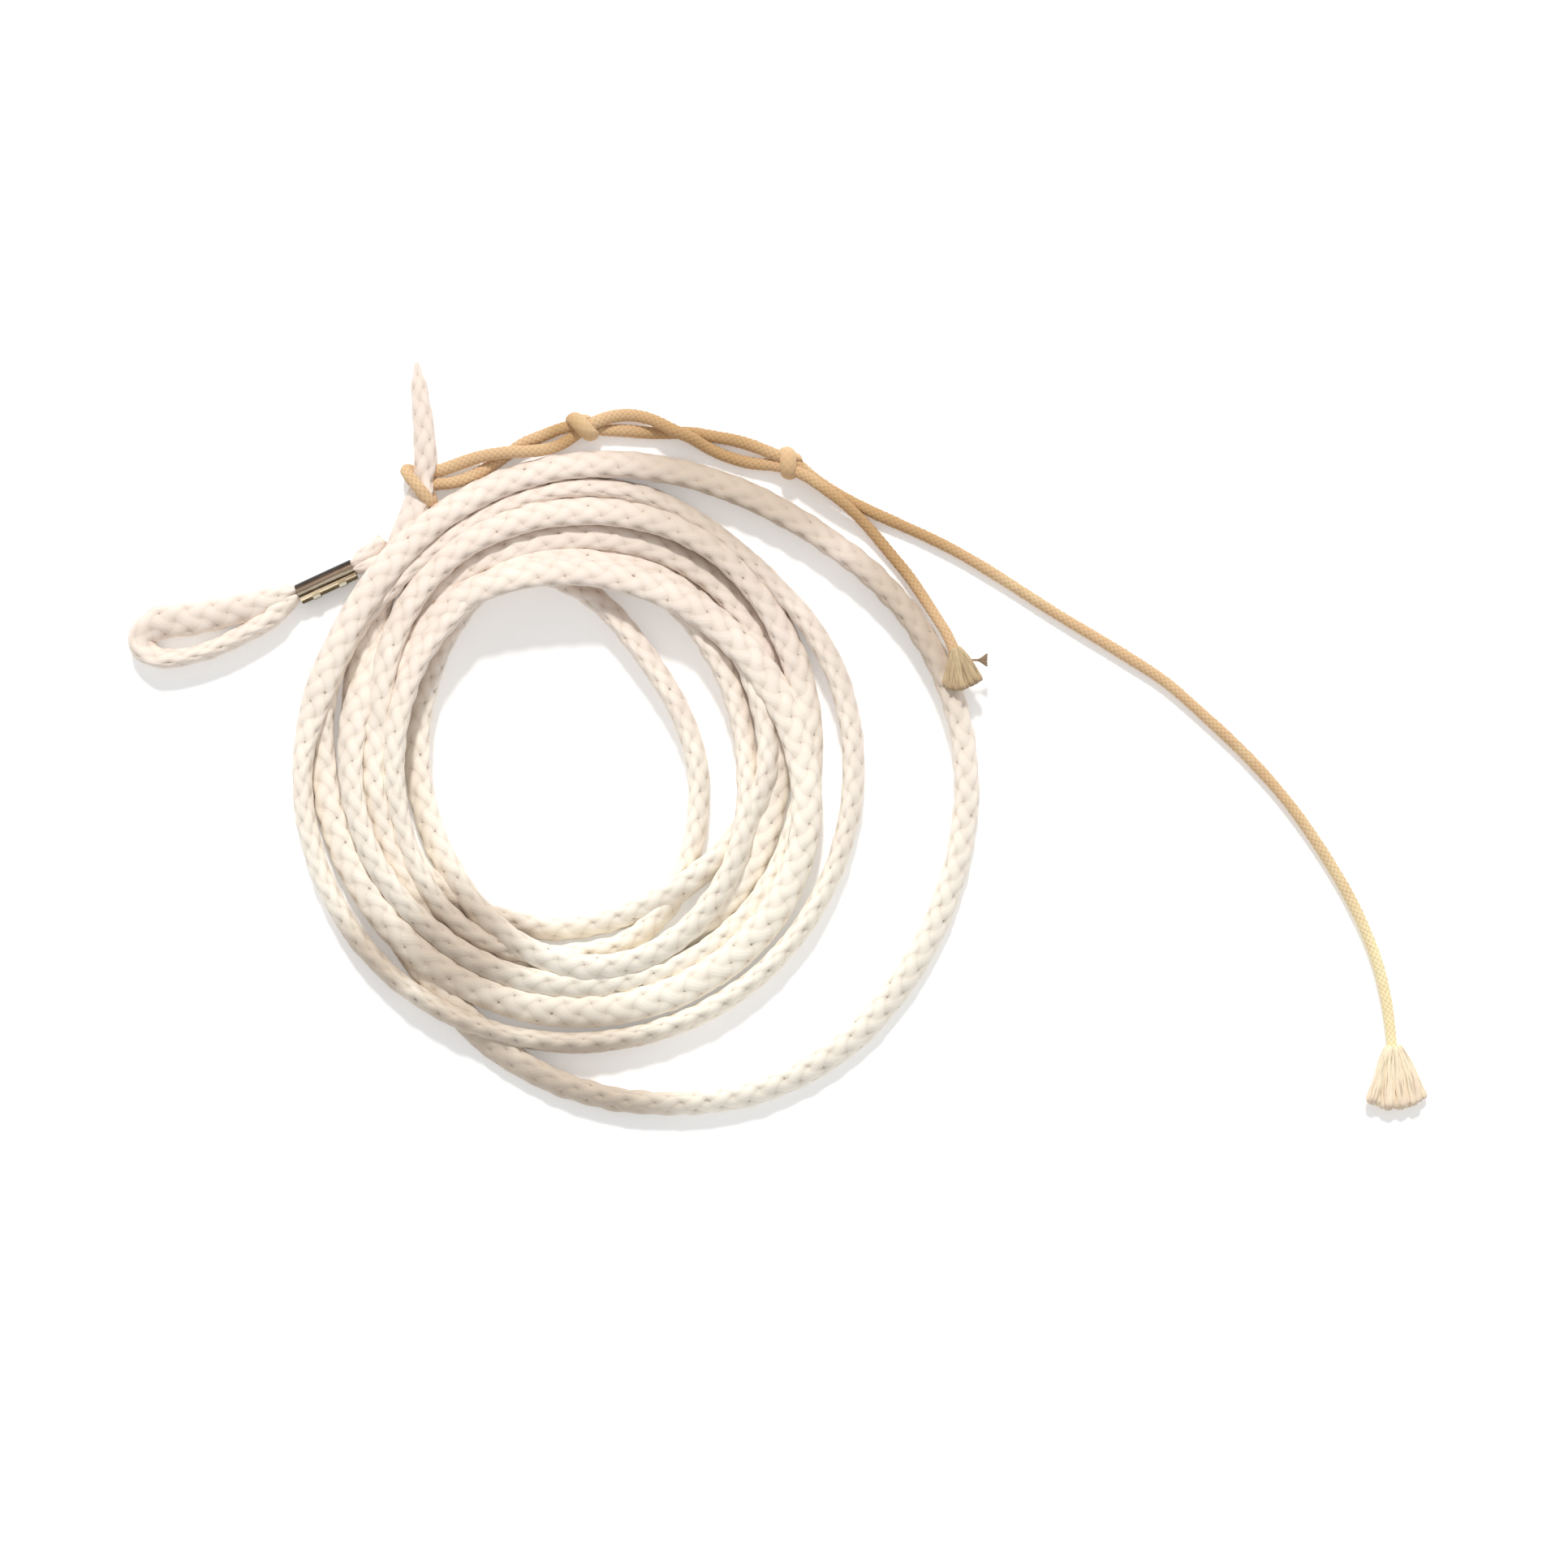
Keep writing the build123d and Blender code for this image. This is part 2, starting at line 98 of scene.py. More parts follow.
# Each turn: first angle, radii at every step, then its level in the pile and its roll (0 flat, 1 on
# edge) at the right, the top, the left and the bottom of the coil
COIL = [
    # hidden under the left side
    (120, [73.6, 63.0, 58.0, 54.2, 51.6, 51.7, 54.5, 58.0, 62.3], (0, 0, 0, 0), (0.4, 0.4, 0.4, 0.4)),
    # outer turn
    (255, [69.4, 76.0, 81.7, 87.4, 90.3, 90.8, 91.0, 90.6, 88.0, 83.2, 77.5, 74.3, 72.2, 70.7, 68.9, 66.9,
           64.8, 63.2, 63.5], (0, 5, 3, 0), (0.6, 0.45, 0.32, 0.5)),
    # second turn
    (180, [65.2, 65.4, 65.7, 65.9, 65.6, 65.0, 64.6, 64.2, 64.2, 64.2, 64.0, 64.0, 64.0, 64.0, 63.3, 61.9,
           62.9, 65.2, 65.6, 63.8, 61.9, 61.2, 61.8, 61.9], (1, 2, 2, 3), (0.85, 0.7, 0.85, 0.8)),
    # turn that ends on top of the bundle
    (180, [60.2, 59.1, 58.1, 57.8, 57.4, 57.4, 57.4, 57.2, 57.2, 57.0, 56.2, 54.7, 52.3, 49.8, 47.7, 46.2,
           45.6, 45.2, 45.6, 46.7, 48.1, 48.8, 48.6, 48.8], (9, 9, 6, 8), (0.3, 0.35, 0.4, 0.2)),
    (180, [48.8, 48.6, 49.0, 49.8, 49.8, 49.4, 49.0, 48.5, 47.1, 46.7, 46.4, 45.6, 46.2, 48.5, 50.9, 53.0,
           54.5, 54.9, 54.2, 54.0, 54.0, 53.8, 53.8, 54.0], (3, 5.5, 5, 2), (0.4, 0.3, 0.5, 0.5)),
    (180, [53.8, 53.4, 52.8, 51.7, 51.7, 51.5, 51.5, 51.8, 52.3, 52.4, 52.6, 52.8, 53.4, 54.6, 56.4, 58.6,
           60.2, 60.4, 59.8, 59.4, 58.6, 55.8, 52.0, 48.9], (5, 6, 7, 6), (0.6, 0.4, 0.6, 0.5)),
    (180, [46.6, 46.2, 45.2, 43.3, 40.7, 39.0, 37.4, 36.3, 36.1, 37.1, 39.1, 41.8, 44.1, 44.7, 45.6, 46.9,
           48.8, 50.2, 49.8, 49.8, 47.9, 44.7, 41.4, 39.4], (5, 5, 1, 3), (0.7, 0.6, 0.45, 0.6)),
    (180, [38.0, 37.6, 38.0, 39.7, 42.2, 44.8, 47.3, 47.5, 46.2, 44.1, 42.2, 40.3, 39.0, 39.0, 40.3, 42.2,
           44.8, 47.1, 48.6, 49.0, 47.9, 46.4, 45.4, 44.2], (7, 7, 8, 9), (0.7, 0.6, 0.5, 0.5)),
    # stray turn across the middle
    (180, [43.6, 43.8, 44.9, 46.4, 47.1, 45.8, 43.7, 42.8, 39.0, 34.6, 31.0, 28.7, 27.4, 26.6, 26.6, 27.7,
           30.0, 35.3, 42.2], (0, 0, 7, 2), (0.8, 0.7, 0.7, 0.7)),
    # its end, under everything, on the way to the ferrule
    (105, [49.0, 57.0, 66.5], (-1, -1, -1, -1), (0.5, 0.4, 0.4, 0.4)),
]

# Free ends: x, y, height, then the oval's width, thickness and roll
TAIL = [
    (-38.2, 94.6, 1.0, 0.9, 0.8, 0), (-37.6, 89.0, 1.5, 3.7, 2.6, 0), (-36.9, 82.6, 2.2, 4.7, 3.6, 0),
    (-36.1, 76.0, 2.6, 5.2, 4.2, 0.1), (-36.0, 70.4, 2.8, 5.4, 4.2, 0.2), (-36.8, 66.6, 2.8, 5.0, 3.8, 0.2),
]
EYE_AND_STUB = [
    (-50.2, 46.6, 2.9, 3.6, 4.4, 0.1), (-51.8, 46.2, 2.9, 2.6, 4.2, 0), (-52.8, 45.8, 2.9, 1.1, 3.2, 0),
    (-58.95, 42.95, 2.9, 1.1, 3.0, 0), (-65.1, 40.1, 2.9, 1.1, 3.2, 0), (-66.3, 39.3, 2.9, 2.7, 4.4, 0),
    (-68.2, 37.9, 2.9, 3.8, 4.6, 0.2), (-71.0, 35.8, 2.9, 5.6, 4.8, 0.5), (-75.6, 32.3, 2.9, 6.2, 4.6, 0.8),
    (-83.6, 28.2, 2.9, 6.4, 4.4, 0.85), (-91.8, 25.4, 2.9, 6.4, 4.0, 0.9), (-99.2, 25.0, 2.8, 6.4, 4.2, 0.7),
    (-103.4, 29.6, 2.6, 6.4, 4.4, 0.4), (-98.8, 33.8, 2.5, 7.4, 4.6, 0.2), (-91.4, 34.2, 2.5, 7.6, 4.6, 0.1),
    (-82.8, 36.0, 2.5, 7.0, 4.6, 0.1), (-75.2, 37.6, 2.6, 6.8, 4.6, 0.1), (-71.0, 39.5, 2.9, 6.0, 4.6, 0),
    (-68.4, 40.4, 2.9, 4.4, 4.6, 0), (-66.9, 41.0, 2.9, 2.8, 4.4, 0), (-65.6, 41.2, 2.9, 1.1, 3.2, 0),
    (-59.45, 44.05, 2.9, 1.1, 3.0, 0), (-53.3, 46.9, 2.9, 1.1, 3.2, 0), (-52.2, 47.7, 2.9, 2.8, 4.2, 0),
    (-50.4, 48.9, 2.9, 4.2, 3.8, 0), (-48.0, 50.6, 2.8, 4.0, 3.4, 0), (-45.7, 53.1, 2.7, 3.6, 3.0, 0),
]

# The tan cord, doubled and hitched round the tail
HITCH_AND_UPPER_LEG = [
    (-35.0, 63.4, 1.45), (-33.9, 61.0, 3.0), (-35.3, 62.4, 5.8), (-37.9, 65.6, 6.4), (-40.3, 68.6, 4.9),
    (-40.4, 69.6, 2.1), (-37.4, 68.6, 1.45), (-33.3, 69.0, 1.7), (-29.5, 70.3, 2.2), (-23.8, 72.3, 3.0),
    (-17.4, 73.3, 4.8), (-11.7, 73.4, 4.6), (-6.7, 74.2, 2.8), (-2.9, 76.0, 2.4), (-0.4, 78.0, 2.6),
]
UPPER_SPAN = [
    (2.3, 79.6, 4.2), (4.8, 80.9, 3.4), (8.7, 82.1, 2.2), (12.7, 82.2, 2.2), (17.3, 80.9, 3.8),
    (21.9, 78.3, 5.0), (25.8, 76.9, 4.0), (29.8, 74.5, 1.8), (34.4, 72.4, 1.45), (40.1, 70.8, 1.45),
    (45.8, 70.5, 2.2),
]
SHORT_TAIL = [
    (51.5, 68.7, 4.4), (57.4, 64.6, 4.6), (62.1, 61.1, 4.0), (67.1, 56.4, 2.0), (71.8, 50.7, 1.45),
    (76.8, 44.8, 1.45), (80.4, 39.4, 2.4), (83.6, 34.2, 4.6), (86.2, 29.9, 5.9), (87.2, 27.0, 6.2),
]
LOWER_LEG = [
    (-37.6, 65.4, 1.45), (-34.2, 66.1, 1.45), (-28.8, 66.3, 2.4), (-23.8, 68.4, 2.4), (-20.3, 70.6, 1.45),
    (-16.8, 73.0, 1.45), (-13.6, 75.4, 1.45), (-9.2, 77.2, 1.45), (-4.8, 78.9, 2.2), (-0.9, 79.9, 2.8),
]
LOWER_SPAN = [
    (2.5, 79.4, 1.9), (4.8, 78.7, 1.45), (10.5, 78.6, 1.45), (16.2, 78.0, 1.45), (21.3, 78.0, 1.45),
    (26.4, 78.1, 1.45), (30.4, 77.3, 1.45), (36.1, 76.4, 1.45), (41.2, 74.8, 1.8), (45.8, 72.7, 3.4),
]
LONG_TAIL = [
    (50.6, 70.9, 2.4), (54.3, 67.6, 1.45), (61.2, 63.1, 1.45), (69.4, 59.0, 1.45), (75.1, 56.5, 1.45),
    (84.6, 52.2, 1.45), (92.2, 48.0, 1.45), (101.7, 42.0, 1.45), (111.2, 35.8, 1.45), (120.7, 30.2, 1.45),
    (130.2, 24.3, 1.45), (137.2, 19.8, 1.45), (144.6, 13.2, 1.45), (155.2, 3.4, 1.45), (165.0, -7.3, 1.45),
    (173.1, -18.8, 1.45), (180.5, -31.2, 1.45), (185.6, -42.8, 1.45), (188.2, -52.3, 1.45),
    (189.6, -61.8, 1.7), (189.8, -66.6, 2.0),
]

# ------------------------------------------------------------------ materials


def linear(code):
    """A hex sRGB colour as linear RGBA."""
    values = [int(code[k:k + 2], 16) / 255 for k in (1, 3, 5)]
    return [v / 12.92 if v <= 0.04045 else ((v + 0.055) / 1.055) ** 2.4 for v in values] + [1.0]


def add_node(material, kind, inputs=(), **settings):
    """Adds a node with its own settings, and fills its inputs, in order or by name.

    An input takes a value, another node's socket, or a node, which stands for its first output.
    """
    node = material.node_tree.nodes.new(kind)
    for name, value in settings.items():
        setattr(node, name, value)
    for name, value in (inputs if isinstance(inputs, dict) else dict(enumerate(inputs))).items():
        if isinstance(value, bpy.types.Node):
            value = value.outputs[0]
        if isinstance(value, bpy.types.NodeSocket):
            material.node_tree.links.new(value, node.inputs[name])
        else:
            node.inputs[name].default_value = value
    return node


def new_material(name, **shader):
    """An empty material with one Principled shader, its plain values set on its own sockets."""
    material = bpy.data.materials.new(name)
    material.use_nodes = True
    material.node_tree.nodes.clear()
    surface = add_node(material, "ShaderNodeBsdfPrincipled",
                       {setting.replace("_", " "): value for setting, value in shader.items()})
    add_node(material, "ShaderNodeOutputMaterial", {"Surface": surface.outputs[0]})
    return material, surface


def braid_material(name, strands, crown, weave, yarns, colours, valley_shade, pinhole, far_end, darker_places, fuzz):
    """Plaited yarn: half the strands lean each way, each passes over and under the others in turn.

    The skin's UV map runs once round the line in u, and in v it counts the lays along the line. crown
    and weave are the skin's own relief in metres, so that the tones and their painted shade follow its
    strands. yarns is how many yarns show side by side in one strand, valley_shade how strongly painted
    shade darkens the tones between the strands, and pinhole how wide the gaps between strands open,
    which are painted dark as shade.
    far_end is where along Y the first tone goes over into the second, and darker_places lists places, in mm,
    with how far round them the tone is drawn darker, towards the dull colour.
    """
    # the fourth colour is painted shade for the valleys between strands, the fifth painted shade for the
    # pinholes
    light, mid, dull, shade, gap_shade = (linear(code) for code in colours)
    material, surface = new_material(name, Roughness=0.92, Sheen_Weight=0.15, Sheen_Roughness=0.6)
    uv = add_node(material, "ShaderNodeUVMap", uv_map="skin")
    parts = add_node(material, "ShaderNodeSeparateXYZ", (uv,))
    leans, cells, offsets = [], [], []
    for way in ("SUBTRACT", "ADD"):
        lean = add_node(material, "ShaderNodeMath", (parts.outputs["X"], parts.outputs["Y"]), operation=way)
        lean = add_node(material, "ShaderNodeMath", (lean, strands), operation="MULTIPLY")
        cell = add_node(material, "ShaderNodeMath", (lean,), operation="ROUND")
        offset = add_node(material, "ShaderNodeMath", (lean, cell), operation="SUBTRACT")
        leans.append(lean)
        cells.append(cell)
        offsets.append(add_node(material, "ShaderNodeMath", (offset,), operation="ABSOLUTE"))
    tops = []
    for own, other, wave in ((0, 1, weave), (1, 0, -weave)):
        arch = add_node(material, "ShaderNodeMath", (offsets[own], STRAND_REACH), operation="DIVIDE")
        arch = add_node(material, "ShaderNodeMath", (arch, 2.0), operation="POWER")
        arch = add_node(material, "ShaderNodeMath", (1.0, arch), operation="SUBTRACT")
        arch = add_node(material, "ShaderNodeMath", (arch,), operation="SQRT")
        arch = add_node(material, "ShaderNodeMath", (arch, crown), operation="MULTIPLY")
        phase = add_node(material, "ShaderNodeMath", (leans[other], cells[own]), operation="ADD")
        phase = add_node(material, "ShaderNodeMath", (phase, math.pi), operation="MULTIPLY")
        ripple = add_node(material, "ShaderNodeMath", (phase,), operation="COSINE")
        ripple = add_node(material, "ShaderNodeMath", (ripple, wave), operation="MULTIPLY")
        tops.append(add_node(material, "ShaderNodeMath", (arch, ripple), operation="ADD"))
    top = add_node(material, "ShaderNodeMath", tops, operation="MAXIMUM")
    margin = add_node(material, "ShaderNodeMath", tops, operation="SUBTRACT")
    margin = add_node(material, "ShaderNodeMath", (margin,), operation="ABSOLUTE")
    # pinholes open where the edges of both families meet, some wide and some shut
    place = add_node(material, "ShaderNodeTexCoord").outputs["Object"]
    pull = add_node(material, "ShaderNodeTexNoise", {
        "Vector": place, "Scale": PULLS_PER_METRE, "Detail": 1.0})
    edges = []
    for offset in offsets:
        edge = add_node(material, "ShaderNodeMath", (0.5, offset), operation="SUBTRACT")
        edges.append(add_node(material, "ShaderNodeMath", (edge, 2.0), operation="POWER"))
    corner = add_node(material, "ShaderNodeMath", edges, operation="ADD")
    corner = add_node(material, "ShaderNodeMath", (corner,), operation="SQRT")
    pull = add_node(material, "ShaderNodeMath", (pull, -0.3), operation="MULTIPLY")
    corner = add_node(material, "ShaderNodeMath", (corner, pull), operation="ADD")
    hole = add_node(material, "ShaderNodeMapRange", {
        "Value": corner, "From Min": pinhole - 0.17, "From Max": pinhole - 0.08, "To Min": 1.0,
        "To Max": 0.0},
        interpolation_type="SMOOTHSTEP")
    # painted shade: tones darken softly from each strand's crown to where it dives under the next
    depth = add_node(material, "ShaderNodeMapRange", {
        "Value": top, "From Min": crown * 0.5, "From Max": crown + weave * 0.8})
    # painted shade along the creases where the two families of strands meet
    crease = add_node(material, "ShaderNodeMapRange", {
        "Value": margin, "From Min": 0.0, "From Max": crown * 0.35, "To Min": 1.0, "To Max": 0.0},
        interpolation_type="SMOOTHSTEP")
    upper = add_node(material, "ShaderNodeMath", (tops[1], tops[0]), operation="GREATER_THAN")
    stripes = []
    for lean in leans:
        stripe = add_node(material, "ShaderNodeMath", (lean, yarns * math.tau), operation="MULTIPLY")
        stripes.append(add_node(material, "ShaderNodeMath", (stripe,), operation="SINE"))
    stripe = add_node(material, "ShaderNodeMix", {"Factor": upper, "A": stripes[0], "B": stripes[1]},
                      data_type="FLOAT")
    # handling leaves patches a little lighter and darker, some centimetres apart
    patches = add_node(material, "ShaderNodeTexNoise", {
        "Vector": place, "Scale": PATCHES_PER_METRE, "Detail": 4.0, "Roughness": 0.65})
    level = add_node(material, "ShaderNodeSeparateXYZ", (place,))
    faded = add_node(material, "ShaderNodeMapRange", {
        "Value": level.outputs["Y"], "From Min": far_end[0], "From Max": far_end[1]})
    patches = add_node(material, "ShaderNodeMath", (patches, 0.5), operation="SUBTRACT")
    patches = add_node(material, "ShaderNodeMath", (patches, 1.6), operation="MULTIPLY")
    blend = add_node(material, "ShaderNodeMath", (faded, patches), operation="ADD")
    tone = add_node(material, "ShaderNodeMix", {"Factor": blend, "A": mid, "B": light}, data_type="RGBA")
    # the tone is drawn darker, towards the dull colour, round each of the listed places
    darkenings = []
    for centre, reach in darker_places:
        away = add_node(material, "ShaderNodeVectorMath", (place, [value * MM for value in centre]),
                        operation="DISTANCE")
        darkenings.append(add_node(material, "ShaderNodeMapRange", {
            "Value": away.outputs["Value"], "From Min": reach * MM * 0.3, "From Max": reach * MM,
            "To Min": 0.88, "To Max": 0.0}, interpolation_type="SMOOTHSTEP"))
    darkening = darkenings[0]
    for other in darkenings[1:]:
        darkening = add_node(material, "ShaderNodeMath", (darkening, other), operation="MAXIMUM")
    tone = add_node(material, "ShaderNodeMix", {"Factor": darkening, "A": tone.outputs["Result"], "B": dull},
                    data_type="RGBA")
    # painted shade mixed into the tone, darkest in the valleys and creases between strands
    painted_shade_amount = add_node(material, "ShaderNodeMath", (1.0, depth), operation="SUBTRACT")
    painted_shade_amount = add_node(material, "ShaderNodeMath", (painted_shade_amount, valley_shade), operation="MULTIPLY")
    crease_shade = add_node(material, "ShaderNodeMath", (crease, valley_shade * 0.2), operation="MULTIPLY")
    painted_shade_amount = add_node(material, "ShaderNodeMath", (painted_shade_amount, crease_shade), operation="ADD")
    shaded_tone = add_node(material, "ShaderNodeMix", {"Factor": painted_shade_amount, "A": tone.outputs["Result"], "B": shade},
                       data_type="RGBA")
    # painted shade: the pinholes are painted dark, as the shade in the openings between strands
    gap_shade_amount = add_node(material, "ShaderNodeMath", (hole, 0.7), operation="MULTIPLY")
    pinhole_shaded_tone = add_node(material, "ShaderNodeMix", {
        "Factor": gap_shade_amount, "A": shaded_tone.outputs["Result"], "B": gap_shade}, data_type="RGBA")
    material.node_tree.links.new(pinhole_shaded_tone.outputs["Result"], surface.inputs["Base Color"])
    fibres = add_node(material, "ShaderNodeTexNoise", {
        "Vector": place, "Scale": FIBRES_PER_METRE, "Detail": 2.0})
    stripe = add_node(material, "ShaderNodeMath", (stripe, 0.05), operation="MULTIPLY")
    fibres = add_node(material, "ShaderNodeMath", (fibres, fuzz), operation="MULTIPLY")
    height = add_node(material, "ShaderNodeMath", (stripe, fibres), operation="ADD")
    height = add_node(material, "ShaderNodeMath", (height, depth), operation="ADD")
    height = add_node(material, "ShaderNodeMath", (height, hole), operation="SUBTRACT")
    bump = add_node(material, "ShaderNodeBump", {"Height": height, "Strength": 0.45, "Distance": crown * 0.5})
    material.node_tree.links.new(bump.outputs[0], surface.inputs["Normal"])
    return material


def yarn_material(name, colours):
    """Combed-out yarn: fine parallel fibres, each yarn its own tone, dusty at the cut end, and painted shade
    in the grooves between fibre streaks.
    """
    pale, warm, groove_shade = (linear(code) for code in colours)
    material, surface = new_material(name, Roughness=0.95, Sheen_Weight=0.2, Sheen_Roughness=0.6)
    uv = add_node(material, "ShaderNodeUVMap", uv_map="skin")
    parts = add_node(material, "ShaderNodeSeparateXYZ", (uv,))
    lines = add_node(material, "ShaderNodeMapping", {"Vector": uv, "Scale": YARN_STREAKS})
    streaks = add_node(material, "ShaderNodeTexNoise", {"Vector": lines, "Scale": 2.0, "Detail": 4.0})
    yarn = add_node(material, "ShaderNodeMath", (parts.outputs["X"],), operation="FLOOR")
    own = add_node(material, "ShaderNodeTexWhiteNoise", {"W": yarn}, noise_dimensions="1D")
    place = add_node(material, "ShaderNodeTexCoord").outputs["Object"]
    clumps = add_node(material, "ShaderNodeTexNoise", {
        "Vector": place, "Scale": CLUMPS_PER_METRE, "Detail": 3.0})
    own = add_node(material, "ShaderNodeMath", (own.outputs["Value"], 0.5), operation="MULTIPLY")
    clumps = add_node(material, "ShaderNodeMath", (clumps, 0.7), operation="MULTIPLY")
    blend = add_node(material, "ShaderNodeMath", (own, clumps), operation="ADD")
    dusty = add_node(material, "ShaderNodeMath", (parts.outputs["Y"], 0.6), operation="MULTIPLY")
    blend = add_node(material, "ShaderNodeMath", (blend, dusty), operation="ADD")
    blend = add_node(material, "ShaderNodeMath", (blend, 0.4), operation="SUBTRACT")
    tone = add_node(material, "ShaderNodeMix", {"Factor": blend, "A": pale, "B": warm}, data_type="RGBA")
    # painted shade: the grooves between the fibre streaks are darkened towards the third colour
    depth = add_node(material, "ShaderNodeMapRange", {
        "Value": streaks.outputs[0], "From Min": 0.3, "From Max": 0.5, "To Min": 0.8, "To Max": 0.0})
    mixed = add_node(material, "ShaderNodeMix", {"Factor": depth, "A": tone.outputs["Result"], "B": groove_shade},
                     data_type="RGBA")
    material.node_tree.links.new(mixed.outputs["Result"], surface.inputs["Base Color"])
    bump = add_node(material, "ShaderNodeBump", {"Height": streaks, "Strength": 0.8, "Distance": 0.2 * MM})
    material.node_tree.links.new(bump.outputs[0], surface.inputs["Normal"])
    return material


def plated_steel():
    """Rolled steel strip with a dull warm plating; painted highlights streak along it, and painted
    reflections and shade darken it.

    The tones run across the sleeve: painted shade under the flange and a painted shadow in its seam, a
    painted highlight on the round back, and a dark painted reflection where the sheet turns down at the far
    side.
    """
    material, surface = new_material("plated_steel", Metallic=1.0, Roughness=0.3)
    place = add_node(material, "ShaderNodeTexCoord").outputs["Object"]
    turned = add_node(material, "ShaderNodeMapping", {
        "Vector": place, "Rotation": (0, 0, -FERRULE_HEADING), "Location": (0, -FERRULE_ACROSS, 0)})
    drawn = add_node(material, "ShaderNodeMapping", {"Vector": turned, "Scale": ROLLED_LINES})
    lines = add_node(material, "ShaderNodeTexNoise", {"Vector": drawn, "Scale": 1.0, "Detail": 3.0})
    blotches = add_node(material, "ShaderNodeTexNoise", {
        "Vector": place, "Scale": BLOTCHES_PER_METRE, "Detail": 4.0})
    across = add_node(material, "ShaderNodeSeparateXYZ", (turned,))
    share = add_node(material, "ShaderNodeMapRange", {
        "Value": across.outputs["Y"], "From Min": -FERRULE_HALF, "From Max": FERRULE_HALF})
    streaky = add_node(material, "ShaderNodeMath", (lines, 0.16), operation="MULTIPLY")
    blotchy = add_node(material, "ShaderNodeMath", (blotches, 0.10), operation="MULTIPLY")
    stray = add_node(material, "ShaderNodeMath", (streaky, blotchy), operation="ADD")
    stray = add_node(material, "ShaderNodeMath", (stray, 0.13), operation="SUBTRACT")
    shifted = add_node(material, "ShaderNodeMath", (share, stray), operation="ADD")
    ramp = add_node(material, "ShaderNodeValToRGB", {"Fac": shifted})
    # painted light across the sleeve: shade under the flange, a painted shadow in the seam, a painted
    # highlight on the round back, and a dark painted reflection where the sheet turns away
    tones = ((0.03, "#64553c"), (0.14, "#a08b68"), (0.26, "#83704f"), (0.33, "#1d1510"), (0.40, "#86715a"),
             (0.48, "#f3e6ca"), (0.55, "#9c8774"), (0.70, "#8a7666"), (0.84, "#40362f"), (0.94, "#131110"))
    ramp.color_ramp.elements[0].position, ramp.color_ramp.elements[1].position = tones[0][0], tones[-1][0]
    for position, _ in tones[1:-1]:
        ramp.color_ramp.elements.new(position)
    for element, (_, code) in zip(ramp.color_ramp.elements, tones):
        element.color = linear(code)
    # the two prongs stand over the flange and get a painted highlight
    high = add_node(material, "ShaderNodeMath", (across.outputs["Z"], PRONG_TOP), operation="GREATER_THAN")
    outer = add_node(material, "ShaderNodeMath", (share, 0.3), operation="LESS_THAN")
    standing = add_node(material, "ShaderNodeMath", (high, outer), operation="MULTIPLY")
    prong_highlight = add_node(material, "ShaderNodeMix", {
        "Factor": standing, "A": ramp.outputs["Color"], "B": linear("#f6ecd2")}, data_type="RGBA")
    material.node_tree.links.new(prong_highlight.outputs["Result"], surface.inputs["Base Color"])
    bump = add_node(material, "ShaderNodeBump", {"Height": lines, "Strength": 0.4, "Distance": 0.08 * MM})
    material.node_tree.links.new(bump.outputs[0], surface.inputs["Normal"])
    return material


# ------------------------------------------------------------------ routes and skins


def spline_line(name, points):
    """The smooth line that a route's points control, as its own points and their places on the route."""
    curve = bpy.data.curves.new(name, "CURVE")
    curve.dimensions = "3D"
    curve.resolution_u = 24
    spline = curve.splines.new("NURBS")
    spline.points.add(len(points) - 1)
    for control, point in zip(spline.points, points):
        control.co = (point[0] * MM, point[1] * MM, point[2] * MM, 1)
    spline.order_u = 3
    spline.use_endpoint_u = True
    holder = bpy.data.objects.new(name, curve)
    bpy.context.scene.collection.objects.link(holder)
    bpy.context.view_layer.update()
    line = bpy.data.meshes.new_from_object(holder)
    places = np.array([vertex.co[:] for vertex in line.vertices])
    bpy.data.objects.remove(holder)
    bpy.data.meshes.remove(line)
    # each control point's own place along the spline's parameter
    last = len(points) - 2
    controls = np.clip(np.arange(len(points)) - 0.5, 0, last)
    parameter = np.linspace(0, last, len(places))
    return places, parameter, controls


def even_line(name, points, step):
    """The route's smooth line at even steps, with each point's other values carried along."""
    places, parameter, controls = spline_line(name, points)
    travelled = np.concatenate([[0], np.cumsum(np.linalg.norm(np.diff(places, axis=0), axis=1))])
    count = int(round(travelled[-1] / step)) + 1
    stations = np.linspace(0, travelled[-1], count)
    line = np.stack([np.interp(stations, travelled, places[:, k]) for k in range(3)], axis=1)
    where = np.interp(stations, travelled, parameter)
    values = [np.interp(where, controls, [point[k] for point in points]) for k in range(3, len(points[0]))]
    return line, stations, values


def side_and_up(line):
    """Level sideways and upward directions at each point of a line."""
    heading = np.gradient(line, axis=0)
    heading /= np.linalg.norm(heading, axis=1)[:, None]
    side = np.cross([0.0, 0.0, 1.0], heading)
    lost = np.linalg.norm(side, axis=1) < 1e-3
    side[lost] = [0.0, 1.0, 0.0]
    side /= np.linalg.norm(side, axis=1)[:, None]
    return side, np.cross(heading, side)


def braid_relief(around, along, strands, crown, weave, pit):
    """Height of a plaited surface over its oval, at turns around and lays along the line."""
    left = strands * (around - along)
    right = strands * (around + along)
    left_cell, right_cell = np.round(left), np.round(right)
    left_off, right_off = np.abs(left - left_cell), np.abs(right - right_cell)
    left_top = crown * np.sqrt(1 - (left_off / STRAND_REACH) ** 2)
    left_top = left_top + weave * np.cos(np.pi * (right + left_cell))
    right_top = crown * np.sqrt(1 - (right_off / STRAND_REACH) ** 2)
    right_top = right_top - weave * np.cos(np.pi * (left + right_cell))
    corner = (0.5 - left_off) ** 2 + (0.5 - right_off) ** 2
    # no two strands are pulled equally tight
    slack = np.sin(left_cell * 12.9898 + right_cell * 4.1414) * crown * 0.16
    return np.maximum(left_top, right_top) + slack * (1 - 4 * np.maximum(left_off, right_off) ** 2) \
        - pit * np.exp(-corner / 0.018)


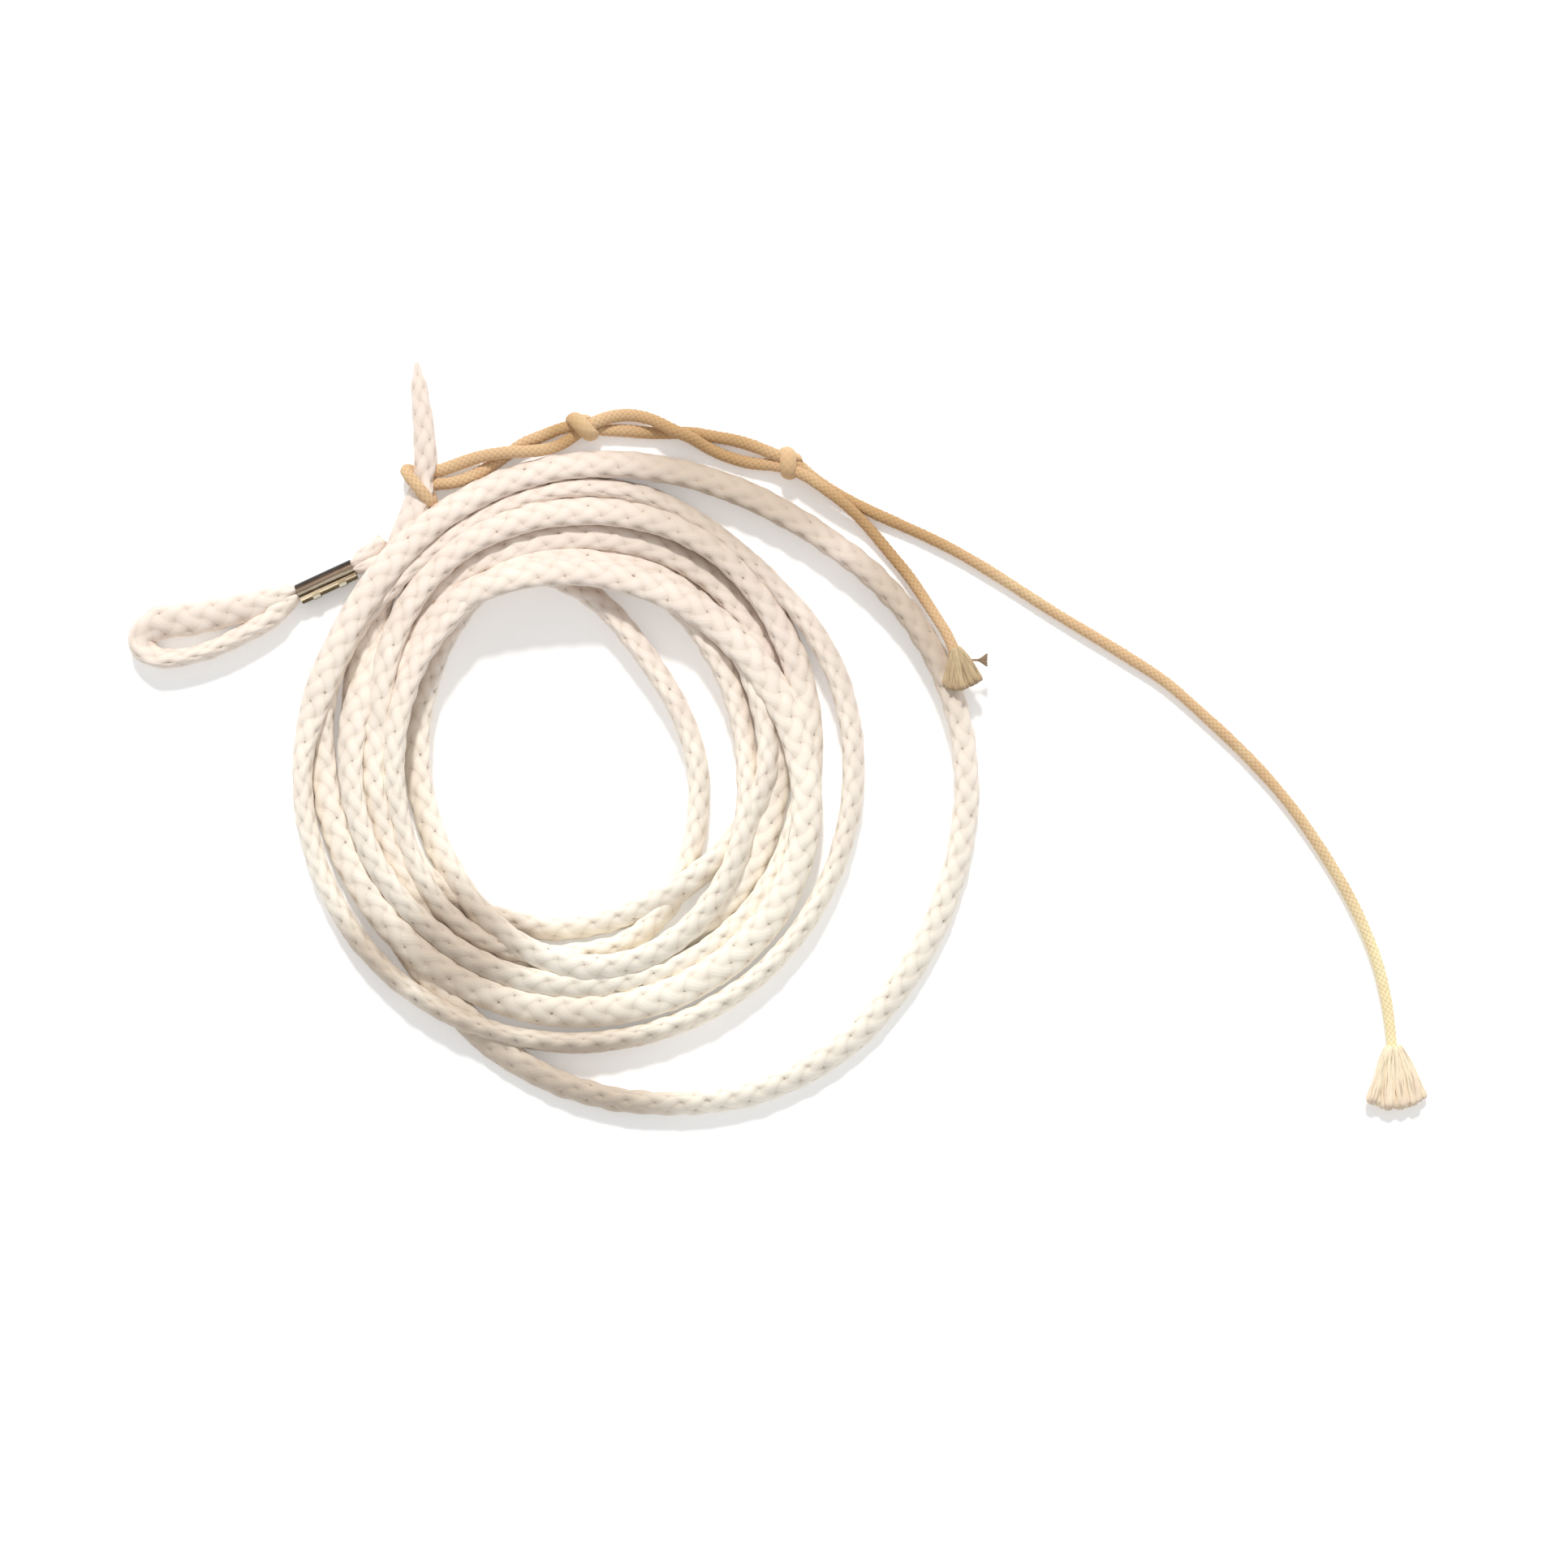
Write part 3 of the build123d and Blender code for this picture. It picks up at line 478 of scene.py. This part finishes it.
def wrap_skin(mesh, rings, along, first_u=0):
    """Wraps a grid round the rings and closes its seam and ends. Its UV map has along as its v."""
    count, sides = rings.shape[0], rings.shape[1] - 1
    fresh = bmesh.ops.create_grid(
        mesh, x_segments=sides, y_segments=count - 1, size=0.5, calc_uvs=True)["verts"]
    faces = {face for vert in fresh for face in vert.link_faces}
    skin = mesh.loops.layers.uv["skin"]
    for face in faces:
        for loop in face.loops:
            u, v = loop[skin].uv
            loop[skin].uv = (u + first_u, along[round(v * (count - 1))])
    for vert in fresh:
        side = round((vert.co.x + 0.5) * sides)
        ring = round((vert.co.y + 0.5) * (count - 1))
        vert.co = rings[ring, side]
    bmesh.ops.remove_doubles(mesh, verts=fresh, dist=2e-6)


def finish_piece(name, mesh, material):
    """Closes a bmesh into a smooth-shaded object with its normals out."""
    bmesh.ops.recalc_face_normals(mesh, faces=mesh.faces)
    data = bpy.data.meshes.new(name)
    mesh.to_mesh(data)
    mesh.free()
    data.shade_smooth()
    data.materials.append(material)
    piece = bpy.data.objects.new(name, data)
    bpy.context.scene.collection.objects.link(piece)
    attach(piece, "root")
    return piece


def skin_mesh():
    """An empty bmesh with the UV map that the braid and yarn materials read."""
    mesh = bmesh.new()
    mesh.loops.layers.uv.new("skin")
    return mesh


def close_ends(line, side, up, shrink):
    """Adds a flat cap at each end, as one more ring of no size in the same place."""
    line = np.concatenate([line[:1], line, line[-1:]])
    side = np.concatenate([side[:1], side, side[-1:]])
    up = np.concatenate([up[:1], up, up[-1:]])
    shrink = np.concatenate([[0.0], shrink, [0.0]])
    return line, side, up, shrink


def oval_rings(line, side, up, wide, thin, roll, sides, relief=None):
    """Rings of an oval section, rolled about the line, with the surface's relief pushed outwards."""
    angle = np.linspace(0, math.tau, sides + 1)[None, :]
    turned = (roll * math.pi / 2)[:, None]
    flat = (wide / 2)[:, None] * np.cos(angle)
    tall = (thin / 2)[:, None] * np.sin(angle)
    out_flat = np.cos(angle) / (wide / 2)[:, None]
    out_tall = np.sin(angle) / (thin / 2)[:, None]
    size = np.hypot(out_flat, out_tall)
    if relief is not None:
        flat = flat + relief * out_flat / size
        tall = tall + relief * out_tall / size
    across = flat * np.cos(turned) - tall * np.sin(turned)
    above = flat * np.sin(turned) + tall * np.cos(turned)
    return line[:, None, :] + side[:, None, :] * across[:, :, None] + up[:, None, :] * above[:, :, None]


def wander(stations, length, size, seed):
    """A slow uneven change along a line: a few waves of unrelated lengths."""
    chance = random.Random(seed)
    total = np.zeros_like(stations)
    for _ in range(5):
        wave = length * chance.uniform(0.5, 1.9)
        total += np.sin(stations / wave * math.tau + chance.uniform(0, math.tau)) * chance.uniform(0.3, 0.6)
    return size * total


# ------------------------------------------------------------------ the coil


def at_quarter(values, angle):
    """The value that a turn has at an angle, given at the right, the top, the left and the bottom."""
    place = (angle % 360) / 90
    low = int(place) % 4
    part = place - int(place)
    return values[low] * (1 - part) + values[(low + 1) % 4] * part


def nearest_quarter(values, angle):
    """The value of the nearest of the four places, for a level that doesn't pass over gradually."""
    return values[round((angle % 360) / 90) % 4]


def half_height(roll):
    """Half the line's height in mm, lying flat at roll 0 and on edge at roll 1."""
    turned = roll * math.pi / 2
    return math.hypot(ROPE_WIDE / 2 * math.sin(turned), ROPE_THIN / 2 * math.cos(turned)) / MM


def half_width(roll):
    """Half the line's width in mm at a roll."""
    turned = roll * math.pi / 2
    return math.hypot(ROPE_WIDE / 2 * math.cos(turned), ROPE_THIN / 2 * math.sin(turned)) / MM


def coil_points():
    """Lays the turns down from the lowest level up, each resting on what it crosses, then eases them.

    Radii are as the camera sees them against the floor, so a raised turn is drawn in to its axis.
    """
    laid = {}
    chain = []
    for turn, (first, radii, levels, rolls) in enumerate(COIL):
        for step, radius in enumerate(radii):
            angle = first + step * TURN_STEP
            item = {"radius": radius, "angle": angle, "roll": at_quarter(rolls, angle),
                    "level": nearest_quarter(levels, angle) + turn * 0.01}
            laid.setdefault(angle % 360, []).append(item)
            chain.append(item)
    for pile in laid.values():
        pile.sort(key=lambda item: item["level"])
        for rank, item in enumerate(pile):
            item["rest"] = half_height(item["roll"])
            item["height"] = item["rest"]
            for lower in pile[:rank]:
                reach = (half_width(item["roll"]) + half_width(lower["roll"])) * 0.85
                apart = abs(item["radius"] - lower["radius"]) / reach
                if apart < 1:
                    stack = (item["rest"] + lower["rest"]) * SQUASH * math.sqrt(1 - apart ** 2)
                    item["height"] = max(item["height"], lower["height"] + stack)
    heights = np.array([item["height"] for item in chain])
    for _ in range(2):
        eased = heights.copy()
        eased[1:-1] = heights[:-2] * 0.25 + heights[1:-1] * 0.5 + heights[2:] * 0.25
        heights = np.maximum(eased, [item["rest"] for item in chain])
    points = []
    for item, height in zip(chain, heights):
        angle = math.radians(item["angle"])
        reach = item["radius"] * TURN_OUTWARD
        drawn_in = 1 - height / CAMERA_PLACE[2]
        points.append((CAMERA_PLACE[0] + (reach * math.cos(angle) - CAMERA_PLACE[0]) * drawn_in,
                       CAMERA_PLACE[1] + (reach * math.sin(angle) - CAMERA_PLACE[1]) * drawn_in, height,
                       ROPE_WIDE / MM, ROPE_THIN / MM, item["roll"]))
    return points


def make_line(material):
    """The line from its pointed tip through the coil, the ferrule and the eye to its cut stub."""
    route = TAIL + coil_points() + EYE_AND_STUB
    line, stations, (wide, thin, roll) = even_line("line_route", route, ROPE_RING_STEP)
    side, up = side_and_up(line)
    size = 1 + wander(stations, 60 * MM, 0.035, 3)
    loose = np.clip((wide - 5) / 2, 0, 1)
    roll = roll + wander(stations, 110 * MM, 0.07, 8) * loose
    full = np.ones(len(line))
    line, side, up, full = close_ends(line, side, up, full)
    along = np.concatenate([stations[:1], stations, stations[-1:]]) / ROPE_LAY
    wide, thin, roll, size = (np.pad(values, 1, mode="edge") for values in (wide * MM, thin * MM, roll, size))
    sides = np.linspace(0, 1, ROPE_SIDES + 1)[None, :]
    scale = np.clip(wide / ROPE_FULL_WIDTH, 0.0, 1.0)[:, None]
    relief = braid_relief(sides, along[:, None], ROPE_STRANDS, ROPE_CROWN, ROPE_WEAVE, ROPE_PIT) * scale
    relief -= ROPE_CROWN * scale
    rings = oval_rings(line, side, up, wide * size * full + SLIVER, thin * size * full + SLIVER, roll,
                       ROPE_SIDES, relief * full[:, None])
    rings[:, :, 2] = np.maximum(rings[:, :, 2], LEAST_HEIGHT)
    mesh = skin_mesh()
    wrap_skin(mesh, rings, along)
    return finish_piece("dock_line", mesh, material), line[1:-1]


def make_cord(name, route, material, drawn_at, seed):
    """A length of the thin cord along its route, drawn thinner beyond a share of its length."""
    line, stations, _ = even_line(name + "_route", route, CORD_RING_STEP)
    side, up = side_and_up(line)
    full = np.ones(len(line))
    line, side, up, full = close_ends(line, side, up, full)
    along = np.concatenate([stations[:1], stations, stations[-1:]]) / CORD_LAY
    drawn = np.interp(np.linspace(0, 1, len(along)), (0, drawn_at, drawn_at + 0.15, 1),
                      (0.97, 0.97, 0.87, 0.87))
    size = CORD_NOMINAL * drawn * (1 + wander(along, 3.0, 0.03, seed))
    sides = np.linspace(0, 1, CORD_SIDES + 1)[None, :]
    relief = braid_relief(sides, along[:, None], CORD_STRANDS, CORD_CROWN, CORD_WEAVE, CORD_PIT) - CORD_CROWN
    rings = oval_rings(line, side, up, size * 1.06 * full + SLIVER, size * 0.94 * full + SLIVER,
                       wander(along, 6.0, 0.25, seed + 1), CORD_SIDES, relief * full[:, None])
    rings[:, :, 2] = np.maximum(rings[:, :, 2], CORD_LEAST_HEIGHT)
    mesh = skin_mesh()
    wrap_skin(mesh, rings, along)
    return finish_piece(name, mesh, material), line[1:-1]


def make_wrap(name, centre, heading, tilt, radius, tall, material):
    """A short turn of cord round a bundle, its ends tucked inside: what shows of an overhand knot."""
    along = Vector((math.cos(math.radians(heading)), math.sin(math.radians(heading)), 0))
    aside = Vector((-along.y, along.x, 0))
    points = []
    for step in range(CURVE_STEPS + 1):
        share = step / CURVE_STEPS
        angle = math.radians(-100) + share * 1.3 * math.tau
        inward = 1 - 0.75 * max(0.0, abs(share - 0.5) * 2 - 0.75) / 0.25
        across = radius * inward * math.cos(angle)
        above = tall * inward * math.sin(angle)
        slide = (share - 0.5) * KNOT_SLIDE + across * tilt
        point = Vector(centre) + along * slide + aside * across + Vector((0, 0, above))
        points.append(tuple(point))
    line, stations, _ = even_line(name + "_route", points, CORD_RING_STEP)
    heading_line = np.gradient(line, axis=0)
    heading_line /= np.linalg.norm(heading_line, axis=1)[:, None]
    outward = line - np.array(centre) * MM
    outward -= np.array(along) * (outward @ np.array(along))[:, None]
    outward /= np.linalg.norm(outward, axis=1)[:, None] + 1e-9
    side = np.cross(outward, heading_line)
    side /= np.linalg.norm(side, axis=1)[:, None]
    up = np.cross(heading_line, side)
    line, side, up, full = close_ends(line, side, up, np.ones(len(line)))
    reach = np.concatenate([stations[:1], stations, stations[-1:]]) / CORD_LAY
    sides = np.linspace(0, 1, CORD_SIDES + 1)[None, :]
    relief = braid_relief(sides, reach[:, None], CORD_STRANDS, CORD_CROWN * KNOT_RELIEF,
                          CORD_WEAVE * KNOT_RELIEF, 0.0)
    rings = oval_rings(line, side, up, KNOT_WIDE * full + SLIVER, KNOT_THIN * full + SLIVER, full * 0,
                       CORD_SIDES, relief * full[:, None])
    rings[:, :, 2] = np.maximum(rings[:, :, 2], CORD_LEAST_HEIGHT)
    mesh = skin_mesh()
    wrap_skin(mesh, rings, reach)
    return finish_piece(name, mesh, material)


def add_yarn(mesh, points, thick, sides, chance):
    """One loose yarn: a thin uneven tube along a bowed line, pinched at its root."""
    line = np.array(points) * MM
    side, up = side_and_up(line)
    count = len(line)
    share = np.linspace(0, 1, count)
    size = thick * MM * (0.6 + 0.5 * share) * (1 + 0.1 * np.sin(share * 9 + chance.uniform(0, 6)))
    size[-1] *= 0.7
    line, side, up, full = close_ends(line, side, up, np.ones(count))
    size = np.pad(size, 1, mode="edge")
    rings = oval_rings(line, side, up, size * 1.15 * full + SLIVER, size * 0.9 * full + SLIVER,
                       np.zeros(count + 2) + chance.uniform(-0.3, 0.3), sides)
    rings[:, :, 2] = np.maximum(rings[:, :, 2], YARN_LEAST_HEIGHT)
    wrap_skin(mesh, rings, np.linspace(0, 1, count + 2), chance.randrange(60))


def make_tassel(name, root, heading, reach, half_root, half_end, height_end, yarns, thick, material, seed,
                floor=0.0):
    """A frayed end: yarns that fan out from the cord and end nearly level."""
    chance = random.Random(seed)
    along = np.array([math.cos(math.radians(heading)), math.sin(math.radians(heading)), 0.0])
    aside = np.array([-along[1], along[0], 0.0])
    mesh = skin_mesh()
    for yarn in range(yarns):
        spread = -1 + 2 * (yarn + 0.5) / yarns + chance.uniform(-0.09, 0.09)
        layer = chance.uniform(0.0, 1.0)
        length = reach * (1 - 0.13 * spread * spread + chance.uniform(-0.05, 0.02))
        wave, phase = chance.uniform(0.1, 0.3), chance.uniform(0, 6)
        points = []
        for step in range(CURVE_STEPS + 1):
            share = step / CURVE_STEPS
            open_out = share ** 0.8
            out = spread * (half_root * (1 - open_out) + half_end * open_out)
            out += wave * math.sin(share * 5 + phase) * share
            fall = (1 - share) * root[2] + share * (floor + thick / 2 + layer * height_end)
            lift = (layer - 0.5) * 2.2 * (1 - share) + 0.5 * math.sin(share * math.pi)
            place = np.array(root) * [1, 1, 0] + along * (share * length) + aside * out
            points.append((place[0], place[1], max(fall + lift * (1 - share), floor + thick * 0.45)))
        add_yarn(mesh, points, thick * chance.uniform(0.8, 1.15), 9, chance)
    return finish_piece(name, mesh, material)


# ------------------------------------------------------------------ camera and cords

camera_data = bpy.data.cameras.new("camera")
camera_data.lens = 85
camera_data.sensor_width = 36
camera_data.clip_end = 10
camera = bpy.data.objects.new("camera", camera_data)
camera.location = [value * MM for value in CAMERA_PLACE]
bpy.context.scene.collection.objects.link(camera)
bpy.context.scene.camera = camera

# unbleached cotton yarn, machine plaited into a hollow braid: matt and fluffy, warm white, with soft
# painted shade between its plump strands and in its pinholes, and drawn grey-brown round the listed places
ROPE_DARKER_PLACES = (((-2, -80, 3), 36), ((-30, -70, 3), 32), ((-50, -48, 3), 20), ((-27, -41, 8), 22),
             ((40, 74, 3), 44), ((82, 38, 3), 34))
braid_white = braid_material(
    "cotton_hollow_braid", ROPE_STRANDS, ROPE_CROWN, ROPE_WEAVE, 5,
    ("#fff8ea", "#ecded3", "#bfaf9d", "#c6b29f", "#85766a"), 0.36, -0.02, (50 * MM, -40 * MM), ROPE_DARKER_PLACES, 0.3)
# tan cotton, plaited fine and tight: a dry, close check of small strands with painted shade between
# them and in their pinholes, paler towards its far end, and drawn darker round the listed places
TAN = ("#fcedbe", "#d9b68c", "#bf9868", "#946f48", "#6a4e30")
TAN_DARKER_PLACES = (((28, 76, 3), 24), ((72, 58, 3), 30), ((-3, 79, 3), 8))
braid_tan = braid_material("tan_cotton_cord", CORD_STRANDS, CORD_CROWN, CORD_WEAVE, 1, TAN, 0.42, -0.05,
                           (0 * MM, -60 * MM), TAN_DARKER_PLACES, 0.5)
# the same cord pulled tight in a knot: its braid closes up and its check nearly goes, with faint painted
# shade between its strands and its pinholes nearly shut
braid_tight = braid_material("tight_cotton_cord", CORD_STRANDS, CORD_CROWN, CORD_WEAVE, 1, TAN, 0.16, -0.2,
                             (0 * MM, -60 * MM), TAN_DARKER_PLACES, 0.5)
# cotton yarn combed out of the cord's cut ends: dull parallel fibres, pale where clean, grey-brown in a
# copy with painted shade for the short tassel, and darkest in the old core yarn beside it
yarn_pale = yarn_material("combed_cotton_yarn", ("#fff5d2", "#efd9c2", "#a5866a"))
yarn_dark = yarn_material("combed_cotton_yarn_in_shade", ("#d6c29a", "#b89d7a", "#7a644c"))
yarn_core = yarn_material("weathered_core_yarn", ("#b39a7e", "#8c745c", "#4c3d30"))
steel = plated_steel()

line, line_path = make_line(braid_white)
short_cord, short_path = make_cord(
    "lashing_cord_short", HITCH_AND_UPPER_LEG + UPPER_SPAN + SHORT_TAIL, braid_tan, 0.55, 21)
long_cord, long_path = make_cord(
    "lashing_cord_long", LOWER_LEG + LOWER_SPAN + LONG_TAIL, braid_tan, 0.3, 31)

knot_near = make_wrap("near_knot", (0.9, 79.4, 3.2), 15.0, -0.4, 2.4, 2.0, braid_tight)
knot_far = make_wrap("far_knot", (48.9, 70.8, 3.2), -10.0, -0.05, 2.4, 2.0, braid_tight)

tassel_long = make_tassel("long_tassel_yarns", (190.0, -65.2, 2.2), -88.0, 14.8, 1.3, 6.2, 2.4, 34, 2.0,
                          yarn_pale, 5)
tassel_short = make_tassel("short_tassel_yarns", (87.5, 27.6, 6.2), -77.0, 9.8, 0.7, 4.2, 1.6, 30, 1.5,
                           yarn_dark, 9, floor=5.2)
core_mesh = skin_mesh()
core_chance = random.Random(4)
for spread in (-1, -0.5, 0, 0.5, 1):
    strand = [(89.2 + 0.36 * step, 24.8 + spread * 0.3 * max(0, step - 10) ** 1.3 * 0.45, 6.9 + 0.1 * spread)
              for step in range(17)]
    add_yarn(core_mesh, strand, 0.55, 7, core_chance)
core = finish_piece("core_strand_yarns", core_mesh, yarn_core)

# ------------------------------------------------------------------ the frame's own node, floor and light

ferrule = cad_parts["crimp_ferrule"]
ferrule.data.materials.clear()
ferrule.data.materials.append(steel)

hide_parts("rope_coil", "rope_outer_turn", "rope_second_turn", "rope_inner_turn", "rope_tail",
            "rope_tip", "rope_eye", "rope_crimped_strands", "rope_standing_part", "rope_end_stub")
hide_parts("lashing_hitch", "lashing_upper_leg", "lashing_upper_span", "lashing_short_tail")
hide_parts("lashing_lower_leg", "lashing_lower_span", "lashing_long_tail")
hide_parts("lashing_knot_near")
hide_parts("lashing_knot_far")
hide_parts("long_tassel")
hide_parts("short_tassel")
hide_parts("cord_core_strand")

floor_mesh = bmesh.new()
bmesh.ops.create_grid(floor_mesh, x_segments=1, y_segments=1, size=3.0)
floor_data = bpy.data.meshes.new("floor")
floor_mesh.to_mesh(floor_data)
floor_mesh.free()
floor = bpy.data.objects.new("floor", floor_data)
bpy.context.scene.collection.objects.link(floor)
# opal acrylic over a light: a flat white that glows a little, so shadows stay pale between the turns
paper, paper_surface = new_material("lit_white_acrylic", Roughness=0.9, Emission_Strength=0.17)
paper_surface.inputs["Base Color"].default_value = (0.98, 0.98, 0.98, 1.0)
paper_surface.inputs["Emission Color"].default_value = (1.0, 1.0, 1.0, 1.0)
floor_data.materials.append(paper)

world = bpy.data.worlds.new("studio")
world.use_nodes = True
world.node_tree.nodes["Background"].inputs["Color"].default_value = (1.0, 1.0, 1.0, 1.0)
world.node_tree.nodes["Background"].inputs["Strength"].default_value = 0.62
bpy.context.scene.world = world

sun_data = bpy.data.lights.new("window", "SUN")
sun_data.energy = 2.3
sun_data.angle = math.radians(7)
sun_data.color = (1.0, 0.98, 0.95)
sun = bpy.data.objects.new("window", sun_data)
sun.rotation_euler = (math.radians(-47), 0, math.radians(4))
bpy.context.scene.collection.objects.link(sun)

bpy.context.scene.view_settings.view_transform = "Standard"
bpy.context.scene.view_settings.exposure = 0.0
